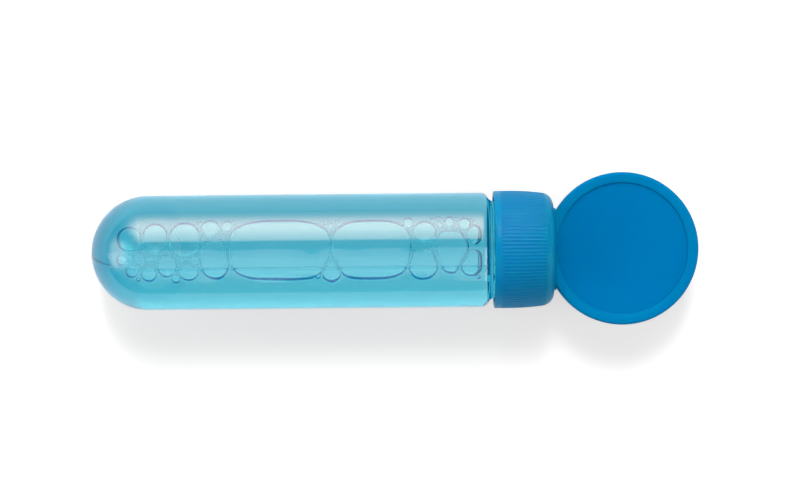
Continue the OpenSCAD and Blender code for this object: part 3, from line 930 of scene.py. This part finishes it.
capShape = {
    "open": 84.35, "height": 12.5, "radius": 12.3, "bore": 11.2,
    "mouthChamfer": 0.12, "mouthRound": 0.25, "mouthBend": 0.08,
    "edge": 2.6, "edgeSteps": 12, "crownStart": 3.5, "crown": 50,
    "ribStart": 1.4, "ribEnd": 10.6, "ribHeight": 0.07, "ribs": 100, "ribSteps": 8,
    "valley": 0.3, "wallFrom": 0.4, "slack": 0.05,     # share of a rib, and mm from bore and ends
    "ceiling": 11.25, "ceilingChamfer": 0.3,
    "pegHole": 3.24, "holeChamfer": 0.1, "collar": 4.8, "collarEnd": 5.25, "collarChamfer": 0.15,
    # rings of vertices: above the open end on the band and in the bore, and round the line on the top
    "bandRings": (0.8, 1.25, 1.4, 1.55, 2.5, 4, 5.5, 7, 8.2, 9.2), "boreRing": 6, "topRings": (7.5, 5),
    "smooth": 40,
}
capThread = dict(neckThread, start=87.65, radius=capShape["bore"], height=-0.7, sunk=-0.15)


def capRadius(x):
    # the outline over the ribs, at a height above the open end
    shape = capShape
    r = shape["radius"]
    if x > shape["crownStart"]:
        r -= shape["crown"] - math.sqrt(shape["crown"] ** 2 - (x - shape["crownStart"]) ** 2)
    return r


def capOutside(shape):
    top, edge, radius, bore = shape["height"], shape["edge"], shape["radius"], shape["bore"]
    chamfer, corner, bend = shape["mouthChamfer"], shape["mouthRound"], shape["mouthBend"]
    line = [(chamfer, bore), (0, bore + chamfer), (0, radius - corner), (bend, radius - bend)]
    line += [(corner, radius)]
    line += [(x, capRadius(x)) for x in shape["bandRings"]]
    # the rounded edge goes on where the crown's slope ends
    rise = (top - edge - shape["crownStart"]) / (1 - edge / shape["crown"])
    slope = math.asin(rise / shape["crown"])
    centre = capRadius(shape["crownStart"] + rise) - edge * math.cos(slope)
    line += arcPoints(top - edge, centre, edge, 90 - math.degrees(slope), 0, shape["edgeSteps"])
    return line + [(top, r) for r in shape["topRings"]]


def capInside(shape):
    top, bore, ceiling, corner = shape["height"], shape["bore"], shape["ceiling"], shape["ceilingChamfer"]
    hole, holeCut = shape["pegHole"], shape["holeChamfer"]
    collar, end, collarCut = shape["collar"], shape["collarEnd"], shape["collarChamfer"]
    return [(top, hole + holeCut), (top - holeCut, hole), (end + holeCut, hole), (end, hole + holeCut),
            (end, collar - collarCut), (end + collarCut, collar), (ceiling - corner, collar),
            (ceiling, collar + corner), (ceiling, bore - corner), (ceiling - corner, bore),
            (shape["boreRing"], bore), (shape["mouthChamfer"], bore)]


def makeCap(shape):
    line = capOutside(shape) + capInside(shape)
    cap = drawLine("screwCap", [onLine(shape["open"] + x, r) for x, r in line], closed=True)
    turnOne = 360 / shape["ribs"]
    spinAll(shape["ribSteps"], turnOne)
    ends = (shape["ribStart"], shape["ribEnd"])
    low, high = (tipX + (shape["open"] + end + shape["slack"]) * mm for end in ends)

    def inValley(co):
        outer = math.hypot(co.y, co.z - lineZ) > (shape["bore"] + shape["wallFrom"]) * mm
        share = abs(math.degrees(math.atan2(co.y, co.z - lineZ))) % turnOne / turnOne
        return outer and low < co.x < high and not shape["valley"] <= share <= 1 - shape["valley"]
    pick(cap, inValley)
    squeeze = 1 - shape["ribHeight"] / shape["radius"]
    bpy.ops.transform.resize(value=(1, squeeze, squeeze), center_override=(0, 0, lineZ))
    spinAll(shape["ribs"], copies=True)
    closeUp(shape["smooth"])
    return joinAll([cap, makeThread("capThread", capThread)])


finishPiece(makeCap(capShape), capPlastic, "screw_cap", "cap")


# Disc handle: recessed disc, foot and hollow peg

discShape = {
    "centre": discCentre, "radius": 16, "thick": 3.2, "round": 0.6, "roundSteps": 8, "steps": 160,
    "recess": recessRadius, "recessDepth": 0.4,
    # from the recess's radius, and from its floor or the disc's face
    "recessFoot": ((-0.3, 0), (-0.08, 0.02), (0, 0.1)), "recessLip": ((0.03, -0.06), (0.12, 0)),
    "capTop": 96.85, "footWide": 17.2, "footThick": 4.4, "footHigh": 0.6, "footSteps": 12,
    "bevel": 0.12, "bevelSteps": 2, "bevelOver": 50,     # mm, count, and degrees
    "peg": 3.2, "pegEnd": 89.6, "pegChamfer": 0.3, "pegInFoot": 0.3, "pegSteps": 48,
    "socket": 1.65, "socketEnd": 96.69, "socketChamfer": 0.1,
    "snapGroove": ((93.34, 1.65), (93.94, 1.95), (94.54, 1.65)),     # along the line and from it
    "smooth": 40,
}


def makePlate(shape):
    half, corner, recess = shape["thick"] / 2, shape["round"], shape["recess"]
    floor = half - shape["recessDepth"]
    face = [(0, floor)]
    face += [(recess + x, floor + z) for x, z in shape["recessFoot"]]
    face += [(recess + x, half + z) for x, z in shape["recessLip"]]
    face += arcPoints(shape["radius"] - corner, half - corner, corner, 90, 0, shape["roundSteps"])
    face += [(x, -z) for x, z in reversed(face)]
    centre = onLine(shape["centre"], 0)
    plate = drawLine("discHandle", [centre + Vector((x * mm, 0, z * mm)) for x, z in face])
    spinAll(shape["steps"], center=centre, axis=(0, 0, 1))
    bpy.ops.mesh.select_all(action="SELECT")
    bpy.ops.mesh.bisect(plane_co=onLine(shape["capTop"], 0), plane_no=(1, 0, 0),
                        clear_inner=True, use_fill=True)
    closeUp(shape["smooth"])
    return plate


def makeFoot(shape):
    # a flat stadium on the cap's top
    wide, thick = shape["footWide"] / 2, shape["footThick"] / 2
    ends = arcPoints(wide - thick, 0, thick, -90, 90, shape["footSteps"])
    ends += [(-y, -z) for y, z in ends]
    base = onLine(shape["capTop"], 0)
    foot = drawLine("foot", [base + Vector((0, y * mm, z * mm)) for y, z in ends])
    bpy.ops.mesh.select_all(action="SELECT")
    bpy.ops.mesh.edge_face_add()
    bpy.ops.mesh.extrude_region_move(TRANSFORM_OT_translate={"value": (shape["footHigh"] * mm, 0, 0)})
    closeUp(shape["smooth"])
    return foot


def makePeg(shape):
    peg, pegEnd, pegCut = shape["peg"], shape["pegEnd"], shape["pegChamfer"]
    socket, socketCut = shape["socket"], shape["socketChamfer"]
    start = shape["capTop"] + shape["pegInFoot"]
    line = [(start, 0), (start, peg), (pegEnd + pegCut, peg), (pegEnd, peg - pegCut),
            (pegEnd, socket + socketCut), (pegEnd + socketCut, socket), *shape["snapGroove"],
            (shape["socketEnd"], socket), (shape["socketEnd"], 0)]
    return turnPiece("peg", line, shape["pegSteps"], shape["smooth"])


def makeDisc(shape):
    disc = makePlate(shape)
    unite(disc, makeFoot(shape))
    applyModifier(disc, "BEVEL", width=shape["bevel"] * mm, segments=shape["bevelSteps"],
                  limit_method="ANGLE", angle_limit=math.radians(shape["bevelOver"]))
    bpy.ops.object.shade_smooth_by_angle(angle=math.radians(shape["smooth"]))
    return joinAll([disc, makePeg(shape)])


finishPiece(makeDisc(discShape), discPlastic, "disc_handle", "cap")


# Bubble wand: grooved ring, stem, flange and snap plug

wandShape = {
    "ringAt": 13.4, "ringRadius": 7.8, "hole": 5.6, "thick": 3.0, "edge": 0.44, "ringSmooth": 30,
    "grooves": 36, "grooveDepth": 0.45, "grooveSteps": 8, "grooveShare": 0.2, "slack": 0.05,
    "grooveFrom": 1.1,                                       # from the hole's edge
    "stem": 1.4, "stemRing": 50, "stemSteps": 48, "stemSmooth": 40,
    # from the ring's rim: the stem's root, and where it has its full width
    "stemRoot": ((-1.0, 0), (-1.0, 1.25), (0.1, 1.3)), "stemFull": 3,
    "flangeAt": 88.56, "flange": 2.8, "flangeThick": 1.0, "flangeChamfer": 0.15, "flare": (0.5, 0.4),
    "plug": 1.6, "plugEnd": 96.56, "plugChamfer": 0.4,
    "snapBead": ((93.44, 1.6), (93.94, 1.9), (94.44, 1.6)),  # along the line and from it
}


def makeRing(shape):
    half, edge, rim, hole = shape["thick"] / 2, shape["edge"], shape["ringRadius"], shape["hole"]
    lower = [(hole, edge - half), (hole + edge, -half), (hole + shape["grooveFrom"], -half),
             (rim - edge, -half), (rim, edge - half)]
    section = lower + [(x, -z) for x, z in reversed(lower)] + lower[:1]
    centre = onLine(shape["ringAt"], 0)
    ring = drawLine("bubbleWand", [centre + Vector((x * mm, 0, z * mm)) for x, z in section], closed=True)
    turnOne = 360 / shape["grooves"]
    spinAll(shape["grooveSteps"], turnOne, center=centre, axis=(0, 0, 1))

    def inGroove(side):
        def test(co):
            share = math.degrees(math.atan2(co.y - centre.y, co.x - centre.x)) % turnOne / turnOne
            onFace = (co.z - lineZ) * side > (half - edge - shape["slack"]) * mm
            return onFace and abs(share - 0.5) < shape["grooveShare"]
        return test
    for side in (1, -1):
        pick(ring, inGroove(side))
        bpy.ops.transform.translate(value=(0, 0, -side * shape["grooveDepth"] * mm))
    spinAll(shape["grooves"], center=centre, axis=(0, 0, 1), copies=True)
    closeUp(shape["ringSmooth"])
    return ring


def makeStem(shape):
    rim, stem = shape["ringAt"] + shape["ringRadius"], shape["stem"]
    start, wide, corner = shape["flangeAt"], shape["flange"], shape["flangeChamfer"]
    end = start + shape["flangeThick"]
    flareLong, flareWide = shape["flare"]
    plug, plugEnd, plugCut = shape["plug"], shape["plugEnd"], shape["plugChamfer"]
    line = [(rim + x, r) for x, r in shape["stemRoot"]]
    line += [(rim + shape["stemFull"], stem), (shape["stemRing"], stem), (start - flareLong, stem),
             (start, stem + flareWide), (start, wide - corner), (start + corner, wide), (end - corner, wide),
             (end, wide - corner), (end, plug), *shape["snapBead"],
             (plugEnd - plugCut, plug), (plugEnd, plug - plugCut), (plugEnd, 0)]
    return turnPiece("stem", line, shape["stemSteps"], shape["stemSmooth"])


def makeWand(shape):
    wand = makeRing(shape)
    unite(wand, makeStem(shape))
    bpy.ops.object.shade_smooth_by_angle(angle=math.radians(smoothUnder))
    return wand


finishPiece(makeWand(wandShape), wandPlastic, "bubble_wand", "wand")


# Seal washer: its solid is as plain as the real one

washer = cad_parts["seal_washer"]
washer.data.materials.clear()
washer.data.materials.append(washerFoam)

print("scene ready")
